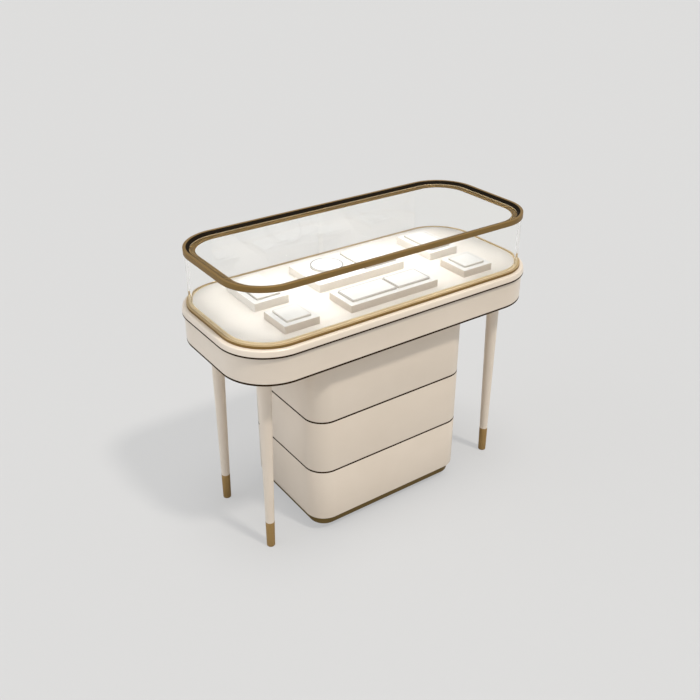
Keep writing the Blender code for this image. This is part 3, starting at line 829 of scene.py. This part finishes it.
def makeRim(s):
    corners = [
        (channel["trackOuter"], s["groove"], 0),
        (channel["trackInner"], s["groove"], 0),
        (channel["trackInner"], s["foot"], s["trackEase"]),
        (s["inner"], s["foot"], s["lipRound"]),
        (s["inner"], s["ledge"], s["ledgeEase"]),
        (s["step"], s["ledge"], 0),
        (s["step"], s["slopeFoot"], 0),
        (s["brow"], s["top"], s["browRound"]),
        (s["outer"], s["top"], s["topRound"]),
        (s["outer"], s["foot"], s["footRound"]),
        (channel["trackOuter"], s["foot"], s["trackEase"]),
    ]
    ring = frameMesh("topRim", softened(corners), tableOutline, brass)
    edge = tableOutline["depth"] / 2
    tools = []
    for side in (-1, 1):
        first, last = sorted((side * (edge - s["lightOuter"]), side * (edge - s["lightInner"])))
        near = (-straightHalf, first, s["foot"] - s["lightDrop"])
        tools.append(boxMesh("lightCut", near, (straightHalf, last, s["lightRoof"]), brass))
    ring = cutBy("topRim", ring, *tools)
    near = (-rib["half"], rib["low"], s["foot"] + rib["rise"])
    far = (rib["half"], rib["high"], s["groove"] + rib["sink"])
    bar = boxMesh("rimRib", near, far, brass, rib["ease"])
    settle("topRim", joined("topRim", ring, bar), "showcase", "brushed_brass", "top_rim")


seal = {
    "wall": 0.0399,
    "wallHead": 0.9992,
    "browOuter": (0.03122, 1.0084),
    "browInner": (0.03211, 1.0083),
    "browRound": 0.0003,
    "face": 0.0411,
    "faceHead": 1.0,
    "faceRound": 0.0008,
    "paleHead": 0.9979,
    "paleMargin": 0.0003,
    "foot": 0.9942,
}


def makeSeal(s):
    corners = [
        (s["wall"], s["foot"], 0),
        (s["wall"], s["wallHead"], 0),
        (*s["browOuter"], s["browRound"]),
        (*s["browInner"], s["browRound"]),
        (s["face"], s["faceHead"], s["faceRound"]),
        (s["face"], s["paleHead"], 0),
        (s["face"], s["foot"], 0),
    ]
    ring = frameMesh("paneSeal", softened(corners), tableOutline, rubber)
    front = s["face"] - s["paleMargin"]
    # painted reflection: the pane's edge shows the brass, painted in pale brass on the seal's face
    paintFaces(ring, paleBrass, lambda face: face.center.z < s["paleHead"] and setbackOf(face.center) > front)
    settle("paneSeal", ring, "showcase", "black_rubber", "top_pane_seal")


topPane = {"edge": 0.0414, "foot": 0.9942, "head": 1.0002, "ease": 0.0005}


def makeTopPane(s):
    section = rimSection(s["edge"], s["foot"], s["head"], s["ease"])
    settle("topPane", plateMesh("topPane", tablePath, section, paneGlass), "showcase", "clear_glass", "top_pane")


caseGlass = {"outer": 0.0252, "inner": 0.0352, "ease": 0.0006}


def makeCaseGlass(s):
    # one clear wall: the joints of the front and the bent ends are polished and bonded
    low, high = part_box("front_glass")
    corners = [
        (s["outer"], low.z, 0),
        (s["inner"], low.z, 0),
        (s["inner"], high.z, s["ease"]),
        (s["outer"], high.z, s["ease"]),
    ]
    mesh = openSweep("caseGlass", fromRear(tablePath, tableOutline), softened(corners, 1), glass)
    settle("caseGlass", mesh, "showcase", "clear_glass", "front_glass", "left_end_glass", "right_end_glass")


makeChannel(channel)
makeRim(rim)
makeSeal(seal)
makeTopPane(topPane)
makeCaseGlass(caseGlass)
print("channel, rim, seal and glass made")

# sliding doors with their ground finger grips

door = {
    "ease": 0.0005,
    "edgeOn": 0.3,
    "gripX": 0.3835,
    "gripZ": 0.90545,
    "gripHeight": 0.060,
    "gripWidth": 0.018,
    "gripDepth": 0.0015,
    "gripTip": 0.0006,
    "gripRise": 2.2,  # in depths of the dish, from its bottom to clear of the pane
    "gripSteps": 8,
    "bendShare": 0.999,
    "bendSteps": 10,
}


def gripLoops(s, middle, face):
    # dished like a ground thumb grip
    wide, tall = s["gripWidth"] / 2, s["gripHeight"] / 2
    loops = []
    for step in range(s["gripSteps"] + 1):
        rise = -1 + s["gripRise"] * step / s["gripSteps"]
        shrink = wide * (1 - math.sqrt(1 - min(0.0, rise) ** 2))
        halfX, halfZ = wide - shrink, tall - shrink
        if halfX < s["gripTip"]:
            halfX, halfZ = s["gripTip"], tall - wide + s["gripTip"]
        path = roundedPath(2 * halfX, 2 * halfZ, halfX * s["bendShare"], s["bendSteps"])
        depth = face + s["gripDepth"] * rise
        loops.append([(middle + x, depth, s["gripZ"] + z) for x, z, nx, nz in path])
    return loops


def makeDoors(s):
    for side, sign in (("left", -1), ("right", 1)):
        low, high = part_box(side + "_door")
        blank = boxMesh(side + "Door", low, high, doorGlass, s["ease"])
        grip = loftLoops("doorGrip", gripLoops(s, sign * s["gripX"], high.y), doorGlass)
        pane = cutBy(side + "Door", blank, grip)
        # the narrow ground edges scatter light, the faces don't
        paintFaces(pane, glassEdge, lambda face: abs(face.normal.y) < s["edgeOn"])
        settle(side + "Door", pane, side + "_door", "clear_glass", side + "_door")


makeDoors(door)
print("doors made")

# light strips under the long sides of the rim

strip = {"ease": 0.0002, "lens": 0.0008, "inset": 0.0006}


def makeStrips(s):
    for side in ("front", "rear"):
        low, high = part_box("light_strip_" + side)
        mid = low.z + s["lens"]
        tray = boxMesh("stripTray", (low.x, low.y, mid), high, aluminium, s["ease"])
        near = (low.x + s["inset"], low.y + s["inset"], low.z)
        far = (high.x - s["inset"], high.y - s["inset"], mid)
        mesh = joined(side + "LightStrip", tray, boxMesh("stripLens", near, far, glow[side]))
        settle(side + "LightStrip", mesh, "showcase", "light_strip", "light_strip_" + side)


makeStrips(strip)
print("light strips made")

# display risers on the deck

riser = {
    "front": 0.025,
    "back": 0.0275,
    "pad": 0.006,
    "sink": 0.0004,
    "margin": 0.0184,
    "gap": 0.004,
    "split": 0.021,
    "round": 0.116,
    "corner": 0.003,
    "soft": 0.0016,
    "padSoft": 0.0012,
    "padCorner": 0.0052,  # wider than softness and border together
    # widths of the painted shade ring round the pads' tops
    "piping": 0.0022,
    "middlePaintedEdgeShade": 0.0036,
    "roundPaintedEdgeShade": 0.0044,
    "cornerSteps": 6,
    "roundSteps": 16,
}
softSteps = 4
paddedUp, levelUp = 0.6, 0.99  # least upward share of the normal of padded and of level faces


def softBlock(name, middle, half, corner, steps, rise, soft, finish, border=0.0, edging=None):
    # block with a padded upper face in white suede; its sides keep the given finish, painted shade on the front
    # row and painted light on the back row, and for pads the sides and a framing border are painted edge shade
    around = roundedPath(2 * half[0], 2 * half[1], corner, steps)
    path = [(x + middle[0], y + middle[1], nx, ny) for x, y, nx, ny in around]
    low, high = rise
    section = [(0.0, low)]
    for step in range(softSteps + 1):
        angle = math.pi / 2 * step / softSteps
        section.append((soft * (1 - math.cos(angle)), high - soft * (1 - math.sin(angle))))
    if border:
        section.append((soft + border, high))
    mesh = plateMesh(name, path, section, finish)
    if border:
        # the cap takes the white suede, the flat ring round it the painted edge shade
        paintFaces(mesh, padSuede, lambda face: face.normal.z > paddedUp and len(face.vertices) > 4)
        paintFaces(mesh, edging, lambda face: face.normal.z > levelUp and len(face.vertices) == 4)
    else:
        # the block's tops take the white suede, its sides the painted shade or painted light of its row
        paintFaces(mesh, padSuede, lambda face: face.normal.z > paddedUp)
    return mesh


def padsOn(s, node, middle, half, top):
    cx, cy = middle
    reachX, reachY = half[0] - s["margin"], half[1] - s["margin"]
    rise = (top - s["sink"], top + s["pad"])
    spans = [(-reachX, reachX)]
    if "middle" in node:
        spans = [(-reachX, s["split"] - s["gap"] / 2), (s["split"] + s["gap"] / 2, reachX)]
    pads = []
    # the round pad's ring of painted edge shade is wider and darker
    if node == "back_middle_riser":
        first = spans.pop(0)
        radius = s["round"] / 2
        centre = (cx + (first[0] + first[1]) / 2, cy + reachY - radius)
        shape = (centre, (radius, radius), radius, s["roundSteps"], rise, s["padSoft"])
        pads.append(softBlock(node, *shape, piping, s["roundPaintedEdgeShade"], paintedSlateShade))
    # the pads' sides and rings are painted shade, darker and wider on the front middle riser
    border, edging = s["piping"], piping
    if node == "front_middle_riser":
        border, edging = s["middlePaintedEdgeShade"], linePiping
    for a, b in spans:
        centre, size = (cx + (a + b) / 2, cy), ((b - a) / 2, reachY)
        shape = (centre, size, s["padCorner"], s["cornerSteps"], rise, s["padSoft"])
        pads.append(softBlock(node, *shape, piping, border, edging))
    return pads


def makeRisers(s):
    # the front row's sides take painted shade, the back row's sides painted light
    for row, finish in (("front", shadePaintedSuede), ("back", paleSuede)):
        for place in ("left", "middle", "right"):
            node = f"{row}_{place}_riser"
            low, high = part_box(node)
            middle = ((low.x + high.x) / 2, (low.y + high.y) / 2)
            half = ((high.x - low.x) / 2, (high.y - low.y) / 2)
            top = low.z + s[row]
            block = softBlock(node, middle, half, s["corner"], s["cornerSteps"], (low.z, top), s["soft"], finish)
            name = row + place.capitalize() + "Riser"
            mesh = joined(name, block, *padsOn(s, node, middle, half, top))
            settle(name, mesh, "showcase", "display_white", node)


makeRisers(riser)
dress("display_deck", deckFinish)
print("risers made")

# pedestal and drawer fronts

tiers = ("lower", "middle", "upper")
plinth = {"outer": 0.016, "inner": 0.026, "ease": 0.0014, "innerEase": 0.0007, "lift": 0.0037}


def footOf(tier, low):
    # the lower tier ends above the plinth's solid, as in the photo
    return low.z + (plinth["lift"] if tier == "lower" else 0.0)


pedestal = {"wall": 0.018, "ease": 0.0008, "opening": 0.2475, "lineEase": 0.0002}


def makePedestal(s):
    shift, rear = pedestalOutline["shift"], pedestalOutline["depth"] / 2
    around = fromRear(pedestalPath, pedestalOutline)
    path = [(shift - s["opening"], rear, 0, 1)] + around + [(shift + s["opening"], rear, 0, 1)]
    for tier in tiers:
        low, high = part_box(tier + "_tier")
        foot = footOf(tier, low)
        corners = [
            (0.0, foot, s["ease"]),
            (s["wall"], foot, 0),
            (s["wall"], high.z, 0),
            (0.0, high.z, s["ease"]),
        ]
        mesh = openSweep(tier + "Tier", path, softened(corners), lacquer)
        settle(tier + "Tier", mesh, "showcase", "cream_lacquer", tier + "_tier")
    for line in ("lower", "upper"):
        low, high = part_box(line + "_pedestal_line")
        section = rimSection(0.0, low.z - lineSpill["lower"], high.z + lineSpill["lower"], s["lineEase"])
        mesh = plateMesh(line + "PedestalLine", pedestalPath, section, bronze)
        settle(line + "PedestalLine", mesh, "showcase", "dark_line", line + "_pedestal_line")


def makePlinth(s):
    low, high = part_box("plinth_band")
    corners = [
        (s["inner"], low.z, s["innerEase"]),
        (s["inner"], high.z, 0),
        (s["outer"], high.z + s["lift"], s["innerEase"]),
        (s["outer"], low.z, s["ease"]),
    ]
    # the plinth takes the darker brass, a painted shade
    mesh = frameMesh("plinthBand", softened(corners), pedestalOutline, plinthBrass)
    settle("plinthBand", mesh, "showcase", "brushed_brass", "plinth_band")


drawer = {
    "pullHeight": 0.022,
    "pullDepth": 0.010,
    "pullRound": 0.003,
    "lipRound": 0.0018,
    "ease": 0.0010,
    "backEase": 0.0006,
    "endEase": 0.0006,
    "endSteps": 2,
    "endAngle": 60,
}


def makeDrawers(s):
    for tier in tiers:
        low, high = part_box(tier + "_drawer_front")
        lip, deep = high.z - s["pullHeight"], high.y - s["pullDepth"]
        foot = footOf(tier, low)
        corners = [
            (low.y, foot, s["backEase"]),
            (high.y, foot, s["ease"]),
            (high.y, lip, s["lipRound"]),
            (deep, lip + s["pullDepth"] / 2, s["pullRound"]),
            (deep, high.z, s["ease"]),
            (low.y, high.z, s["backEase"]),
        ]
        section = softened(corners)
        loops = [[(x, p.x, p.y) for p in section] for x in (low.x, high.x)]
        name = tier + "DrawerFront"
        holder = addObject(name, loftLoops(name, loops, lacquer))
        soft = holder.modifiers.new("soft", "BEVEL")
        soft.width, soft.segments = s["endEase"], s["endSteps"]
        soft.limit_method, soft.angle_limit = "ANGLE", math.radians(s["endAngle"])
        settle(name, baked(name, holder), tier + "_drawer", "cream_lacquer", tier + "_drawer_front")


makePedestal(pedestal)
makePlinth(plinth)
makeDrawers(drawer)
print("pedestal and drawer fronts made")

# legs and ferrules

leg = {
    "x": 0.491,
    "y": 0.160,
    "lean": 0.010 / 0.693,  # inwards, over the height of the leg
    "topRadius": 0.023,
    "footRadius": 0.015,
    "ease": 0.0008,
    "steps": 8,
}
quarters = (("front_left", -1, -1), ("front_right", 1, -1), ("rear_left", -1, 1), ("rear_right", 1, 1))


def camel(text):
    first, *rest = text.split("_")
    return first + "".join(word.capitalize() for word in rest)


def legSection(s, low, high):
    foot = low.z + s["ease"]
    section = [(s["footRadius"] - s["ease"], low.z), (s["footRadius"], foot)]
    for step in range(1, s["steps"] + 1):
        share = step / s["steps"]
        radius = s["footRadius"] + (s["topRadius"] - s["footRadius"]) * share
        section.append((radius, foot + (high.z - foot) * share))
    return section


ferrule = {"head": 0.0156, "toe": 0.0144, "height": 0.104, "toeRound": 0.003, "headRound": 0.0007, "steps": 4}


def ferruleSection(s):
    corners = [
        (0.0, 0.0, 0),
        (s["toe"], 0.0, s["toeRound"]),
        (s["head"], s["height"], s["headRound"]),
        (0.0, s["height"], 0),
    ]
    return [(p.x, p.y) for p in softened(corners, s["steps"])[1:-1]]


def makeLegs(s):
    for label, sx, sy in quarters:
        sway = Matrix.Identity(4)
        sway[0][2] = -sx * s["lean"]
        sway[0][3], sway[1][3] = sx * s["x"], sy * s["y"]
        shaft = turnedMesh("leg", legSection(s, *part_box("leg_" + label)), lacquer)
        shoe = turnedMesh("ferrule", ferruleSection(ferrule), footBrass)
        for node, mesh, slot in (("leg_", shaft, "cream_lacquer"), ("ferrule_", shoe, "brushed_brass")):
            mesh.transform(sway)
            settle(camel(node + label), mesh, "showcase", slot, node + label)


makeLegs(leg)
print("legs and ferrules made")

# CAD pieces that keep their shape

for label, sx, sy in quarters:
    dress("pedestal_foot_" + label, rubber)
dress("cord_gland", rubber)
dress("pedestal_base_board", board)
dress("light_driver", aluminium)
for tier in tiers:
    dress(tier + "_drawer_box", ply)
    for hand in ("left", "right"):
        dress(f"{tier}_drawer_runner_{hand}", board)
print("inner pieces dressed")
